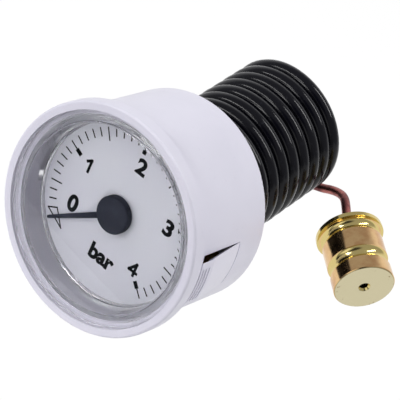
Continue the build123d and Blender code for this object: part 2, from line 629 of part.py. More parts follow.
os.makedirs("parts", exist_ok=True)
for name, shape in nodes.items():
    export_step(shape, os.path.join("parts", name + ".step"))
    print(name, round(shape.volume, 3), len(shape.solids()))
print("sector at", SECTOR_AT, "tail", TAIL_AT, "tip", TIP_AT, "travel", TIP_TRAVEL)
print("coil in", coil_in, "out", coil_out, "axis", AXIS)
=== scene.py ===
"""Looks for a boiler pressure gauge with a coiled capillary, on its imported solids.

Everything is in metres in the solids' own frame: the origin on the gauge's axis at the back of
the bezel, +Y back along the barrel, +Z twelve o'clock and +X three o'clock seen from the front.
Sizes in the classes are in millimetres, and MM turns them into metres.
"""
import logging
import math
from abc import ABC, abstractmethod
from dataclasses import dataclass
from enum import Enum
from typing import Any, Sequence

import bmesh
import bpy
import numpy as np
from mathutils import Matrix, Quaternion, Vector


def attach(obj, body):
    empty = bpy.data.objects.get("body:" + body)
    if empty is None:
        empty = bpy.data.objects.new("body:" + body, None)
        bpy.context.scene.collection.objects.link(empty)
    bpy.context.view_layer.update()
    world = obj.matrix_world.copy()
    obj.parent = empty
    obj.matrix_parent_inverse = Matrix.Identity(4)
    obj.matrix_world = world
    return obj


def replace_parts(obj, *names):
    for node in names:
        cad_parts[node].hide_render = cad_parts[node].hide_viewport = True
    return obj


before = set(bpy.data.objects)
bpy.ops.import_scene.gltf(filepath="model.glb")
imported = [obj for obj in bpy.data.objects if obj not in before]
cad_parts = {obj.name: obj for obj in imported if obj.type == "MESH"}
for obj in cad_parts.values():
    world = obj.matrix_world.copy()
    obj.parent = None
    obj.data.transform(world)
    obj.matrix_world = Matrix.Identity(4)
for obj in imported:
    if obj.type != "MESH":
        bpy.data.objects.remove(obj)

MM = 0.001
SCREEN_WHITE = 255.0
# Height of a figure in the built-in font, over the font's size.
CAP_HEIGHT = 0.729
# The plug's axis, and the middle of its rear face in millimetres.
PLUG_DIR = (0.8002, -0.5602, -0.2140)
PLUG_REAR = (23.293, 45.672, 1.108)
LOG = logging.getLogger("gauge")
Colour = tuple[float, float, float, float]


def grey(value: float) -> Colour:
    """Opaque grey of one value."""
    return (value, value, value, 1.0)


def tint(red: float, green: float, blue: float) -> Colour:
    """Opaque scene-linear colour from an eight-bit screen colour.

    Args:
        red: Red from 0 to 255.
        green: Green from 0 to 255.
        blue: Blue from 0 to 255.

    Returns:
        The colour with an alpha of 1.
    """
    screen = np.array([red, green, blue]) / SCREEN_WHITE
    linear = np.where(screen <= 0.04045, screen / 12.92, ((screen + 0.055) / 1.055) ** 2.4)
    return (float(linear[0]), float(linear[1]), float(linear[2]), 1.0)


# ---- shader maths


class Wire:
    """A shader socket that takes part in Python expressions."""

    def __init__(self, graph: "Graph", socket: bpy.types.NodeSocket) -> None:
        """Keep the graph that the socket belongs to, and the socket."""
        self.graph = graph
        self.socket = socket

    def _math(self, operation: str, *values: Any) -> "Wire":
        """Add one Math node.

        Args:
            operation: Blender's name of the operation.
            *values: Wires or numbers for the node's inputs, in order.

        Returns:
            The node's value.
        """
        inputs = {index: value for index, value in enumerate(values)}
        return self.graph.node("ShaderNodeMath", {"operation": operation}, inputs)

    def __add__(self, other: Any) -> "Wire":
        """Sum."""
        return self._math("ADD", self, other)

    __radd__ = __add__

    def __sub__(self, other: Any) -> "Wire":
        """Difference."""
        return self._math("SUBTRACT", self, other)

    def __rsub__(self, other: Any) -> "Wire":
        """Difference with the number first."""
        return self._math("SUBTRACT", other, self)

    def __mul__(self, other: Any) -> "Wire":
        """Product."""
        return self._math("MULTIPLY", self, other)

    __rmul__ = __mul__

    def larger(self, other: Any) -> "Wire":
        """The larger of two values."""
        return self._math("MAXIMUM", self, other)

    def above(self, edge: float, width: float) -> "Wire":
        """Smooth step.

        Args:
            edge: The value at which it is a half.
            width: How far from the edge it reaches 0 and 1.

        Returns:
            0 under edge - width and 1 over edge + width.
        """
        settings = {"interpolation_type": "SMOOTHSTEP"}
        span = {0: self, 1: edge - width, 2: edge + width, 3: 0.0, 4: 1.0}
        return self.graph.node("ShaderNodeMapRange", settings, span)


class Graph:
    """The nodes of one material or of the world, with its first surface node."""

    def __init__(self, owner: bpy.types.ID, surface: str = "Principled BSDF") -> None:
        """Open the owner's node tree.

        Args:
            owner: A new material or world.
            surface: The name of the node that shades it.
        """
        owner.use_nodes = True
        self.tree = owner.node_tree
        self.surface = self.tree.nodes[surface]

    def node(self, kind: str, settings: dict[str, Any], inputs: dict[Any, Any],
             output: Any = 0) -> Wire:
        """Add any node.

        Args:
            kind: The node's type.
            settings: Attributes to set first.
            inputs: Socket names or numbers with the Wires or values that they take.
            output: Name or number of the socket to hand back.

        Returns:
            The asked output.
        """
        made = self.tree.nodes.new(kind)
        for key, value in settings.items():
            setattr(made, key, value)
        for key, value in inputs.items():
            self.feed(made.inputs[key], value)
        return Wire(self, made.outputs[output])

    def feed(self, socket: bpy.types.NodeSocket, value: Any) -> None:
        """Link a Wire to a socket, or set a plain value on it.

        Args:
            socket: The input.
            value: A Wire, or what the socket holds by itself.
        """
        if isinstance(value, Wire):
            self.tree.links.new(value.socket, socket)
        else:
            socket.default_value = value

    def set(self, **inputs: Any) -> None:
        """Feed the surface's inputs, with _ for a space in their names."""
        for key, value in inputs.items():
            self.feed(self.surface.inputs[key.replace("_", " ")], value)

    def place(self) -> Wire:
        """Object coordinates in metres, which are the row frame's."""
        return self.node("ShaderNodeTexCoord", {}, {}, "Object")

    def noise(self, where: Wire, scale: float, detail: float = 2.0, rough: float = 0.5) -> Wire:
        """Noise from 0 to 1 with about that many lumps a metre."""
        inputs = {"Vector": where, "Scale": scale, "Detail": detail, "Roughness": rough}
        return self.node("ShaderNodeTexNoise", {}, inputs, 0)

    def mix(self, factor: Any, low: Any, high: Any) -> Wire:
        """Colour between two colours."""
        inputs = {0: factor, 6: low, 7: high}
        return self.node("ShaderNodeMix", {"data_type": "RGBA"}, inputs, 2)

    def rays(self) -> tuple[Wire, Wire, Wire]:
        """Masks of the kinds of ray.

        Returns:
            Rays from the camera, rays through clear plastic and rays off gloss.
        """
        path = self.tree.nodes.new("ShaderNodeLightPath")
        kinds = ("Camera", "Transmission", "Glossy")
        camera, through, shiny = (Wire(self, path.outputs[f"Is {kind} Ray"]) for kind in kinds)
        return camera, through, shiny

    def reach(self, where: Wire, keep: tuple[float, float, float]) -> Wire:
        """Distance from an axis.

        Args:
            where: Coordinates.
            keep: 1 for the two parts across the axis, and 0 for the one along it.

        Returns:
            The length of what is kept.
        """
        flat = self.node("ShaderNodeVectorMath", {"operation": "MULTIPLY"}, {0: where, 1: keep})
        return self.node("ShaderNodeVectorMath", {"operation": "LENGTH"}, {0: flat}, "Value")

    def toward(self, way: Wire, spot: tuple[float, float, float]) -> Wire:
        """Dot product of a direction with a fixed one."""
        inputs = {0: way, 1: spot}
        return self.node("ShaderNodeVectorMath", {"operation": "DOT_PRODUCT"}, inputs, "Value")

    def bump(self, height: Wire, depth_mm: float, strength: float = 1.0) -> Wire:
        """Normal for a height of 0 to 1 that stands for so many millimetres."""
        inputs = {"Height": height, "Distance": depth_mm * MM, "Strength": strength}
        return self.node("ShaderNodeBump", {}, inputs)


# ---- finishes


class Finish(ABC):
    """One finish, made once as a material."""

    name: str

    @abstractmethod
    def dress(self, graph: Graph) -> None:
        """Set the surface's inputs."""

    def material(self) -> bpy.types.Material:
        """The material of this finish, made when it is first asked for."""
        found = bpy.data.materials.get(self.name)
        if found:
            return found
        made = bpy.data.materials.new(self.name)
        self.dress(Graph(made))
        return made


@dataclass(frozen=True)
class WhiteMoulding(Finish):
    """White case plastic: faint orange peel, a few rub marks and a soft gloss."""

    name: str = "white_moulding"
    colour: Colour = tint(224, 222, 235)
    rubbed: Colour = tint(212, 210, 224)
    gloss: float = 0.34
    clouds: float = 90.0
    rubs: float = 900.0
    peel: float = 2600.0

    def dress(self, graph: Graph) -> None:
        """Colour, roughness and peel from noise."""
        where = graph.place()
        cloud = graph.noise(where, self.clouds, 3.0)
        rub = graph.noise(where, self.rubs, 4.0, 0.7).above(0.66, 0.05)
        faded = cloud.above(0.5, 0.3) * 0.5 + rub * 0.3
        graph.set(
            Base_Color=graph.mix(faded, self.colour, self.rubbed),
            Roughness=self.gloss + cloud * 0.06 + rub * 0.12,
            Normal=graph.bump(graph.noise(where, self.peel, 2.0), 0.012, 0.5),
            IOR=1.52,
        )


@dataclass(frozen=True)
class ClearMoulding(Finish):
    """Clear lens plastic that bends light at its thick rim."""

    name: str = "clear_moulding"
    colour: Colour = tint(254, 254, 255)
    pane_r: float = 17.7
    edge: float = 0.1
    bends: float = 1.45
    gloss: float = 0.01
    rim_dull: float = 0.02
    rim_thin: float = 0.25

    def dress(self, graph: Graph) -> None:
        """Full transmission with a faint ripple, a little duller and thinner outside the pane."""
        where = graph.place()
        ripple = graph.noise(where, 160.0, 1.0)
        rim = graph.reach(where, (1.0, 0.0, 1.0)).above(self.pane_r * MM, self.edge * MM)
        graph.set(Base_Color=self.colour, Transmission_Weight=1.0, IOR=self.bends)
        graph.set(Roughness=self.gloss + rim * self.rim_dull, Alpha=1.0 - rim * self.rim_thin)
        graph.set(Normal=graph.bump(ripple, 0.01, 0.25))


@dataclass(frozen=True)
class DialPaint(Finish):
    """Matt light face of the dial, with a grain and a few specks of dust."""

    name: str = "dial_paint"
    colour: Colour = tint(226, 227, 234)
    shade: Colour = tint(220, 220, 229)
    speck: Colour = tint(140, 146, 160)
    matt: float = 0.55
    specks: float = 260.0
    grain: float = 5200.0

    def dress(self, graph: Graph) -> None:
        """Colour from a slow cloud and sparse specks."""
        where = graph.place()
        cloud = graph.noise(where, 70.0, 2.0).above(0.5, 0.25)
        spots = {"Vector": where, "Scale": self.specks}
        dots = graph.node("ShaderNodeTexVoronoi", {"feature": "F1"}, spots, 0)
        rare = graph.noise(where, 130.0, 1.0).above(0.68, 0.02)
        speck = (1.0 - dots.above(0.06, 0.02)) * rare
        base = graph.mix(cloud, self.colour, self.shade)
        graph.set(
            Base_Color=graph.mix(speck, base, self.speck),
            Roughness=self.matt + cloud * 0.05,
            Normal=graph.bump(graph.noise(where, self.grain, 2.0), 0.004, 0.4),
        )


@dataclass(frozen=True)
class PrintInk(Finish):
    """Black print, a little thin in places."""

    name: str = "print_ink"
    colour: Colour = tint(6, 7, 11)
    thin: Colour = tint(24, 26, 32)
    matt: float = 0.45
    shine: float = 0.1

    def dress(self, graph: Graph) -> None:
        """Colour and roughness from fine noise."""
        thin = graph.noise(graph.place(), 2500.0, 2.0).above(0.62, 0.08)
        graph.set(Base_Color=graph.mix(thin, self.colour, self.thin))
        graph.set(Roughness=self.matt + thin * 0.1, Specular_IOR_Level=self.shine)


@dataclass(frozen=True)
class DarkMoulding(Finish):
    """Slate-coloured plastic of the pointer, with a fine spark-eroded grain."""

    name: str = "dark_moulding"
    colour: Colour = tint(48, 51, 62)
    worn: Colour = tint(56, 59, 70)
    matt: float = 0.5
    shine: float = 0.12
    grain: float = 9000.0

    def dress(self, graph: Graph) -> None:
        """Colour, roughness and grain from noise."""
        where = graph.place()
        cloud = graph.noise(where, 420.0, 3.0)
        graph.set(
            Base_Color=graph.mix(cloud.above(0.58, 0.2), self.colour, self.worn),
            Roughness=self.matt + cloud * 0.12,
            Normal=graph.bump(graph.noise(where, self.grain, 2.0), 0.006, 0.6),
            Specular_IOR_Level=self.shine,
        )


@dataclass(frozen=True)
class GlossySheath(Finish):
    """Black plastic sheath: glossy, with faint dust and a slow ripple."""

    name: str = "glossy_sheath"
    colour: Colour = tint(8, 8, 16)
    dust: Colour = tint(40, 41, 50)
    gloss: float = 0.14
    shine: float = 0.21

    def dress(self, graph: Graph) -> None:
        """Colour, gloss and a soft bump from noise."""
        where = graph.place()
        dust = graph.noise(where, 900.0, 4.0, 0.65).above(0.66, 0.1)
        slow = graph.noise(where, 150.0, 2.0)
        graph.set(
            Base_Color=graph.mix(dust * 0.4, self.colour, self.dust),
            Roughness=self.gloss + dust * 0.14 + slow * 0.05,
            Normal=graph.bump(slow, 0.04, 0.3),
            IOR=1.5,
            Specular_IOR_Level=self.shine,
        )


@dataclass(frozen=True)
class BareCopper(Finish):
    """Bare copper tube, dulled and darker in patches."""

    name: str = "bare_copper"
    colour: Colour = tint(176, 108, 102)
    tarnish: Colour = tint(108, 66, 68)
    gloss: float = 0.3

    def dress(self, graph: Graph) -> None:
        """Metal whose colour and gloss follow the tarnish."""
        where = graph.place()
        patch = graph.noise(where, 420.0, 4.0, 0.6).above(0.5, 0.18)
        fine = graph.noise(where, 4000.0, 2.0)
        graph.set(
            Base_Color=graph.mix(patch, self.colour, self.tarnish),
            Metallic=1.0,
            Roughness=self.gloss + patch * 0.16 + fine * 0.05,
            Normal=graph.bump(fine, 0.01, 0.4),
        )


@dataclass(frozen=True)
class SheetMetal(Finish):
    """Stamped or turned metal inside the case."""

    name: str
    colour: Colour
    stained: Colour
    gloss: float

    def dress(self, graph: Graph) -> None:
        """Metal with faint stains and rolling marks."""
        where = graph.place()
        stain = graph.noise(where, 330.0, 4.0, 0.6).above(0.55, 0.15)
        graph.set(
            Base_Color=graph.mix(stain, self.colour, self.stained),
            Metallic=1.0,
            Roughness=self.gloss + stain * 0.14,
            Normal=graph.bump(graph.noise(where, 3600.0, 2.0), 0.006, 0.4),
        )


@dataclass(frozen=True)
class TurnedBrass(Finish):
    """Bright brass off the lathe, pinker on its lands and yellower in its grooves."""

    name: str = "turned_brass"
    land: Colour = tint(226, 188, 136)
    stained: Colour = tint(206, 160, 112)
    groove: Colour = tint(216, 196, 130)
    face: Colour = tint(206, 197, 163)
    # Darker colour of the end face's rim, which is painted shade, and of its real nicks.
    edge: Colour = tint(150, 132, 98)
    face_at: float = 12.93
    land_r: float = 5.7
    gloss: float = 0.12
    rings: float = 9000.0
    step: float = 0.1
    soft: float = 0.04

    def dress(self, graph: Graph) -> None:
        """Rings, lands, grooves and a matt, nicked end face.

        The lands are where the distance from the axis is theirs, within a tenth, and all else but
        the face is groove. The face is darker in a ring at its rim, which is painted shade, and at
        its real nicks.
        """
        turn = Vector(PLUG_DIR).to_track_quat("Z", "Y").to_euler()
        inputs = {
            "Vector": graph.place(), "Rotation": tuple(turn),
            "Location": tuple(c * MM for c in PLUG_REAR),
        }
        own = graph.node("ShaderNodeMapping", {"vector_type": "TEXTURE"}, inputs)
        parts = graph.node("ShaderNodeSeparateXYZ", {}, {0: own}, 2)
        out = graph.reach(own, (1.0, 1.0, 0.0))
        along = (parts + out) * self.rings
        rings = graph.node("ShaderNodeTexNoise", {"noise_dimensions": "1D"},
                           {"W": along, "Scale": 1.0, "Detail": 3.0}, 0)
        stain = graph.noise(own, 260.0, 4.0, 0.6).above(0.56, 0.12)
        face = parts.above(self.face_at * MM, 0.02 * MM)
        on_land = out.above((self.land_r - self.step) * MM, self.soft * MM)
        on_land = on_land * (1.0 - out.above((self.land_r + self.step) * MM, self.soft * MM))
        turned = graph.mix(on_land, self.groove, graph.mix(stain, self.land, self.stained))
        nicks = graph.noise(own, 1500.0, 2.0).above(0.7, 0.03)
        nicks = nicks * out.above(self.land_r * 0.8 * MM, 0.5 * MM)
        # Painted shade: a darker ring round the end face's rim, joined with the face's real nicks.
        worn = out.above((self.land_r - 0.2) * MM, 0.06 * MM).larger(nicks)
        graph.set(
            Base_Color=graph.mix(face, turned, graph.mix(worn, self.face, self.edge)),
            Metallic=1.0,
            Roughness=self.gloss + rings * 0.04 + stain * 0.03 + face * 0.2,
            Normal=graph.bump(rings, 0.003, 0.4),
        )


BRASS_SHEET = SheetMetal("brass_sheet", tint(226, 188, 112), tint(176, 134, 74), 0.3)
PLAIN_STEEL = SheetMetal("plain_steel", tint(190, 190, 192), tint(140, 138, 138), 0.28)
WARM_BRONZE = SheetMetal("warm_bronze", tint(178, 112, 74), tint(120, 68, 46), 0.32)


class Slot(Enum):
    """The record's material slots, each with its finish."""

    CASE = ("case_plastic", WhiteMoulding())
    LENS = ("clear_lens", ClearMoulding())
    DIAL = ("dial_face", DialPaint())
    POINTER = ("pointer_plastic", DarkMoulding())
    BRASS = ("brass", BRASS_SHEET)
    STEEL = ("steel", PLAIN_STEEL)
    BRONZE = ("bronze", WARM_BRONZE)
    COPPER = ("copper", BareCopper())
    SHEATH = ("sheath", GlossySheath())
    PLUG = ("plug_brass", TurnedBrass())

    @property
    def label(self) -> str:
        """The slot's name in the record."""
        return self.value[0]

    @property
    def finish(self) -> Finish:
        """The finish that the slot takes."""
        return self.value[1]


# ---- surfaces


def rounded(corners: Sequence[tuple[float, float, float]], steps: int = 6) -> np.ndarray:
    """Profile with rounded corners.

    Each corner is (r, y, radius). A fillet of that radius starts and ends at radius / tan(half
    the inner angle) from the corner, and its points divide the arc between them evenly. It is
    drawn as a parabola through those two points with the corner as control point, which is
    within a few percent of the arc.

    Args:
        corners: The corners in order, in millimetres.
        steps: Points on each rounded corner.

    Returns:
        The profile's points, two columns.
    """
    plain = np.array(corners, float)
    pieces = []
    for index, (r, y, radius) in enumerate(plain):
        here = np.array([r, y])
        if radius == 0.0 or index in (0, len(plain) - 1):
            pieces.append(here[None])
            continue
        before, after = plain[index - 1, :2] - here, plain[index + 1, :2] - here
        reach = [before / np.linalg.norm(before), after / np.linalg.norm(after)]
        inner = math.acos(float(np.clip(reach[0] @ reach[1], -1.0, 1.0)))
        run = radius / math.tan(inner / 2)
        t = np.linspace(0.0, 1.0, steps)[:, None]
        start, end = here + reach[0] * run, here + reach[1] * run
        pieces.append((1 - t) ** 2 * start + 2 * t * (1 - t) * here + t ** 2 * end)
    return np.concatenate(pieces)


def mesh_from(
    name: str, points: np.ndarray, faces: np.ndarray, sharp: float = 35.0
) -> bpy.types.Object:
    """Object from points in millimetres and faces, with doubles merged and normals outwards.

    Args:
        name: The object's name.
        points: Three columns, in millimetres.
        faces: Rows of point numbers.
        sharp: Edges steeper than this many degrees stay sharp.

    Returns:
        The linked object, at the origin.
    """
    mesh = bpy.data.meshes.new(name)
    mesh.from_pydata((points * MM).tolist(), [], faces.tolist())
    work = bmesh.new()
    work.from_mesh(mesh)
    bmesh.ops.remove_doubles(work, verts=work.verts, dist=1e-7)
    bmesh.ops.dissolve_degenerate(work, edges=work.edges, dist=1e-8)
    bmesh.ops.recalc_face_normals(work, faces=work.faces)
    work.to_mesh(mesh)
    work.free()
    mesh.polygons.foreach_set("use_smooth", np.ones(len(mesh.polygons), bool))
    mesh.set_sharp_from_angle(angle=math.radians(sharp))
    piece = bpy.data.objects.new(name, mesh)
    bpy.context.scene.collection.objects.link(piece)
    return piece


def lathe(name: str, profile: np.ndarray, segments: int = 160) -> bpy.types.Object:
    """Surface of revolution round the gauge's axis.

    A point at angle a and profile (r, y) is (r sin a, y, r cos a). The grid has one row for each
    angle and one column for each profile point, and wraps round in the first.

    Args:
        name: The object's name.
        profile: Radius and depth of each profile point, in millimetres.
        segments: Steps round the axis.

    Returns:
        The linked object, at the origin.
    """
    angle = np.linspace(0.0, 2 * math.pi, segments, endpoint=False)[:, None]
    radius, depth = profile[None, :, 0], profile[None, :, 1]
    east, north = radius * np.sin(angle), radius * np.cos(angle)
    points = np.stack(np.broadcast_arrays(east, depth, north), -1)
    count = profile.shape[0]
    row, col = np.meshgrid(np.arange(segments), np.arange(count - 1), indexing="ij")
    here, there = row * count + col, (row + 1) % segments * count + col
    faces = np.stack([here, here + 1, there + 1, there], -1).reshape(-1, 4)
    return mesh_from(name, points.reshape(-1, 3), faces)


def nurbs(
    name: str, points_mm: np.ndarray, radius_mm: float, sides: int, fine: int
) -> bpy.types.Object:
    """Round tube along a NURBS spline of order 3 through its end points.

    Args:
        name: The object's name.
        points_mm: The control points, in millimetres.
        radius_mm: The tube's radius.
        sides: Sides in a quarter of its section.
        fine: Steps between two control points.

    Returns:
        The curve object, at the origin.
    """
    curve = bpy.data.curves.new(name, "CURVE")
    curve.dimensions = "3D"
    spline = curve.splines.new("NURBS")
    spline.points.add(len(points_mm) - 1)
    spline.points.foreach_set("co", np.c_[points_mm * MM, np.ones(len(points_mm))].ravel())
    spline.order_u = 3
    spline.use_endpoint_u = True
    spline.resolution_u = fine
    curve.bevel_depth = radius_mm * MM
    curve.bevel_resolution = sides
    curve.use_fill_caps = True
    piece = bpy.data.objects.new(name, curve)
    bpy.context.scene.collection.objects.link(piece)
    return piece


def paint(piece: bpy.types.Object, slot: Slot) -> bpy.types.Object:
    """Give a piece a slot's finish.

    Args:
        piece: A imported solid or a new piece.
        slot: The slot that it takes.

    Returns:
        The same piece.
    """
    piece.data.materials.clear()
    piece.data.materials.append(slot.finish.material())
    return piece


def fit(piece: bpy.types.Object, slot: Slot, body: str) -> bpy.types.Object:
    """Dress a new piece and let it ride on a body.

    Args:
        piece: The new piece.
        slot: The slot that it takes.
        body: The body that carries it.

    Returns:
        The same piece.
    """
    paint(piece, slot)
    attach(piece, body)
    LOG.info("piece %s rides on %s with %s", piece.name, body, slot.finish.name)
    return piece


# ---- sub-assemblies


@dataclass
class Casing:
    """The white case with its bezel and tongues, and the screws in its back."""

    nodes: tuple[str, ...] = ("case",)
    screws: tuple[str, ...] = ("case_screws",)

    def build(self) -> None:
        """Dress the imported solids."""
        for name in self.nodes:
            paint(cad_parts[name], Slot.CASE)
        for name in self.screws:
            paint(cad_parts[name], Slot.STEEL)
        LOG.info("case dressed")


@dataclass
class LensCup:
    """Clear cup whose rim sits behind the bezel's lip and whose wall reaches the dial."""

    front: float = -2.5
    pane: float = 1.2
    rim_r: float = 19.30
    rim_back: float = -0.66
    wall_out: float = 18.18
    wall_in: float = 17.4
    foot_in: float = 16.4
    foot: float = 3.55
    step_r: float = 18.7
    step: float = 0.22

    def build(self) -> None:
        """Turn the cup's closed profile round the axis."""
        corners = [
            (0.0, self.front, 0.0), (self.step_r - 0.5, self.front, 0.3),
            (self.step_r, self.front + self.step, 0.15),
            (self.rim_r, self.front + self.step, 0.12), (self.rim_r, self.rim_back, 0.1),
            (self.wall_out, self.rim_back, 0.12), (self.wall_out, self.foot, 0.12),
            (self.foot_in, self.foot, 0.12), (self.wall_in, self.front + self.pane, 0.45),
            (0.0, self.front + self.pane, 0.0),
        ]
        cup = lathe("lens_cup", rounded(corners), 200)
        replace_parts(fit(cup, Slot.LENS, "gauge"), "lens")


@dataclass
class DialPrint:
    """Scale, figures, unit and zero marker printed on the dial."""

    face_y: float = 3.59
    zero_deg: float = -135.0
    bar_deg: float = 67.5
    outer: float = 15.5
    inner: float = 13.8
    half_inner: float = 12.95
    bold_from: tuple[float, ...] = (12.3, 12.9, 13.3, 12.3)
    bold_to: float = 13.7
    thin_w: float = 0.28
    bold_w: float = 0.85
    words: tuple[tuple[str, float, float, float, float], ...] = (
        ("0", -9.07, -4.27, 3.26, 1.0), ("2", 0.76, 10.64, 2.97, 1.08),
        ("3", 10.41, 4.25, 2.97, 1.14), ("bar", 0.68, -9.26, 3.1, 1.0),
    )
    one: tuple[tuple[float, ...], ...] = ((0.1, -0.5, 0.1, 0.5), (0.1, 0.5, -0.24, 0.26))
    one_at: tuple[float, float] = (-9.1, 4.06)
    four: tuple[tuple[float, ...], ...] = (
        (0.14, -0.5, 0.14, 0.5), (0.14, 0.5, -0.38, -0.2), (-0.38, -0.2, 0.36, -0.2),
    )
    four_at: tuple[float, float] = (7.5, -6.93)
    drawn_h: float = 2.9
    drawn_w: float = 0.57
    swell: float = 0.044
    marker: tuple[tuple[float, float], ...] = ((15.8, -121.3), (13.7, -121.4), (13.8, -137.2))

    def bars(
        self, degrees: np.ndarray, low: np.ndarray, high: np.ndarray, width: float
    ) -> np.ndarray:
        """Corners of radial strokes.

        A stroke at dial angle a from radius p to q has corners c +/- w / 2 times the sideways
        direction (cos a, -sin a), with c at p and at q along (sin a, cos a).

        Args:
            degrees: Dial angles.
            low: Inner radii.
            high: Outer radii.
            width: Stroke width.

        Returns:
            Array of strokes, four corners, x and z.
        """
        a = np.radians(degrees)[:, None]
        out, side = np.stack([np.sin(a), np.cos(a)], -1), np.stack([np.cos(a), -np.sin(a)], -1)
        radius = np.stack([low, high, high, low], 1)[..., None]
        across = np.array([-0.5, -0.5, 0.5, 0.5])[None, :, None] * width
        return out * radius + side * across

    def strip(self, name: str, quads: np.ndarray) -> bpy.types.Object:
        """Flat piece of print.

        Args:
            name: The object's name.
            quads: Array of strokes, four corners, x and z.

        Returns:
            The printed piece.
        """
        flat = quads.reshape(-1, 2)
        points = np.c_[flat[:, 0], np.full(len(flat), self.face_y), flat[:, 1]]
        mesh = bpy.data.meshes.new(name)
        mesh.from_pydata((points * MM).tolist(), [], np.arange(len(flat)).reshape(-1, 4).tolist())
        return self.keep(name, mesh)

    def keep(self, name: str, mesh: bpy.types.Mesh) -> bpy.types.Object:
        """Make a printed piece of a mesh and turn its faces to the front.

        Args:
            name: The object's name.
            mesh: Flat mesh on the dial.

        Returns:
            The linked piece, which rides on the gauge.
        """
        work = bmesh.new()
        work.from_mesh(mesh)
        bmesh.ops.reverse_faces(work, faces=[f for f in work.faces if f.normal.y > 0.0])
        work.to_mesh(mesh)
        work.free()
        piece = bpy.data.objects.new(name, mesh)
        bpy.context.scene.collection.objects.link(piece)
        return fit(piece, Slot.DIAL, "gauge")

    def ink(self, piece: bpy.types.Object) -> None:
        """Print is ink on the dial's slot."""
        piece.data.materials.clear()
        piece.data.materials.append(PrintInk().material())

    def word(
        self, name: str, text: str, x: float, z: float, height: float, stretch: float
    ) -> bpy.types.Object:
        """Upright text on the dial as a mesh.

        Args:
            name: The object's name.
            text: The generic figure or unit.
            x: Its middle towards three o'clock.
            z: Its middle towards twelve o'clock.
            height: Height of a figure.
            stretch: Its width over the font's own.

        Returns:
            The printed piece.
        """
        curve = bpy.data.curves.new(name, "FONT")
        curve.body, curve.offset, curve.resolution_u = text, self.swell, 5
        probe = bpy.data.objects.new(name + "_probe", curve)
        bpy.context.scene.collection.objects.link(probe)
        bpy.context.view_layer.update()
        mesh = bpy.data.meshes.new_from_object(probe)
        bpy.data.objects.remove(probe)
        flat = np.empty(len(mesh.vertices) * 3)
        mesh.vertices.foreach_get("co", flat)
        flat = flat.reshape(-1, 3)
        scale = height / CAP_HEIGHT
        middle = (flat.max(0) + flat.min(0)) / 2
        placed = np.c_[
            (flat[:, 0] - middle[0]) * scale * stretch + x,
            np.full(len(flat), self.face_y),
            (flat[:, 1] - middle[1]) * scale + z,
        ]
        mesh.vertices.foreach_set("co", (placed * MM).ravel())
        mesh.name = name
        return self.keep(name, mesh)

    def lines(self, start: np.ndarray, end: np.ndarray, width: float) -> np.ndarray:
        """Corners of straight strokes that reach half their width past both ends.

        Args:
            start: First ends, x and z.
            end: Second ends.
            width: Stroke width.

        Returns:
            Array of strokes, four corners, x and z.
        """
        along = (end - start) / np.linalg.norm(end - start, axis=1, keepdims=True) * width / 2
        side = along[:, ::-1] * np.array([-1.0, 1.0])
        near, far = start - along, end + along
        return np.stack([near - side, far - side, far + side, near + side], 1)

    def outline(self) -> np.ndarray:
        """Strokes along the zero marker's three sides."""
        polar = np.array(self.marker)
        a = np.radians(polar[:, 1])
        points = polar[:, :1] * np.c_[np.sin(a), np.cos(a)]
        return self.lines(points, np.roll(points, -1, 0), self.thin_w)

    def drawn(
        self, strokes: Sequence[tuple[float, ...]], middle: tuple[float, float]
    ) -> np.ndarray:
        """Strokes of a figure.

        Args:
            strokes: Each stroke's two ends, in a box of height 1 about the figure's middle.
            middle: Where the middle lies on the dial, x and z.

        Returns:
            Array of strokes, four corners, x and z.
        """
        ends = np.array(strokes) * self.drawn_h * (1.0 - self.drawn_w / self.drawn_h)
        return self.lines(ends[:, :2] + middle, ends[:, 2:] + middle, self.drawn_w)

    def build(self) -> None:
        """Dress the dial and print on it."""
        paint(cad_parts["dial"], Slot.DIAL)
        tenths = np.array([k for k in range(3, 40) if k % 10])
        low = np.where(tenths % 5 == 0, self.half_inner, self.inner)
        degrees = self.zero_deg + tenths * self.bar_deg / 10
        fine = self.bars(degrees, low, np.full(len(low), self.outer), self.thin_w)
        whole = self.zero_deg + np.arange(1, 5) * self.bar_deg
        ends = np.ones(4)
        start = np.array(self.bold_from)
        long = self.bars(whole, start, ends * self.outer, self.thin_w)
        bold = self.bars(whole, start, ends * self.bold_to, self.bold_w)
        strips = {
            "scale_ticks": np.concatenate([fine, long]),
            "scale_bars": bold,
            "zero_marker": self.outline(),
            "print_1": self.drawn(self.one, self.one_at),
            "print_4": self.drawn(self.four, self.four_at),
        }
        pieces = [self.strip(name, quads) for name, quads in strips.items()]
        pieces += [self.word(f"print_{word[0]}", *word) for word in self.words]
        for piece in pieces:
            self.ink(piece)
        LOG.info("dial printed with %d pieces", len(pieces))


@dataclass
class Movement:
    """Everything between the dial and the case's back."""

    brass: tuple[str, ...] = (
        "pinion_arbor", "sector_gear", "link", "tube_tip", "socket_block", "front_plate",
        "back_plate", "plate_pillars", "hairspring_collet", "hairspring_stud",
    )
    steel: tuple[str, ...] = (
        "sector_arbor", "tail_pin", "tip_pin", "plate_screws", "block_screws",
    )
    bronze: tuple[str, ...] = ("bourdon_tube", "hairspring")
    copper: tuple[str, ...] = ("inner_capillary",)

    def build(self) -> None:
        """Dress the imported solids, and the pointer with them."""
        groups = [(self.brass, Slot.BRASS), (self.steel, Slot.STEEL), (self.bronze, Slot.BRONZE),
                  (self.copper, Slot.COPPER), (("pointer",), Slot.POINTER)]
        for names, slot in groups:
            for name in names:
                paint(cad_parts[name], slot)
            LOG.info("%s: %s", slot.finish.name, ", ".join(names))


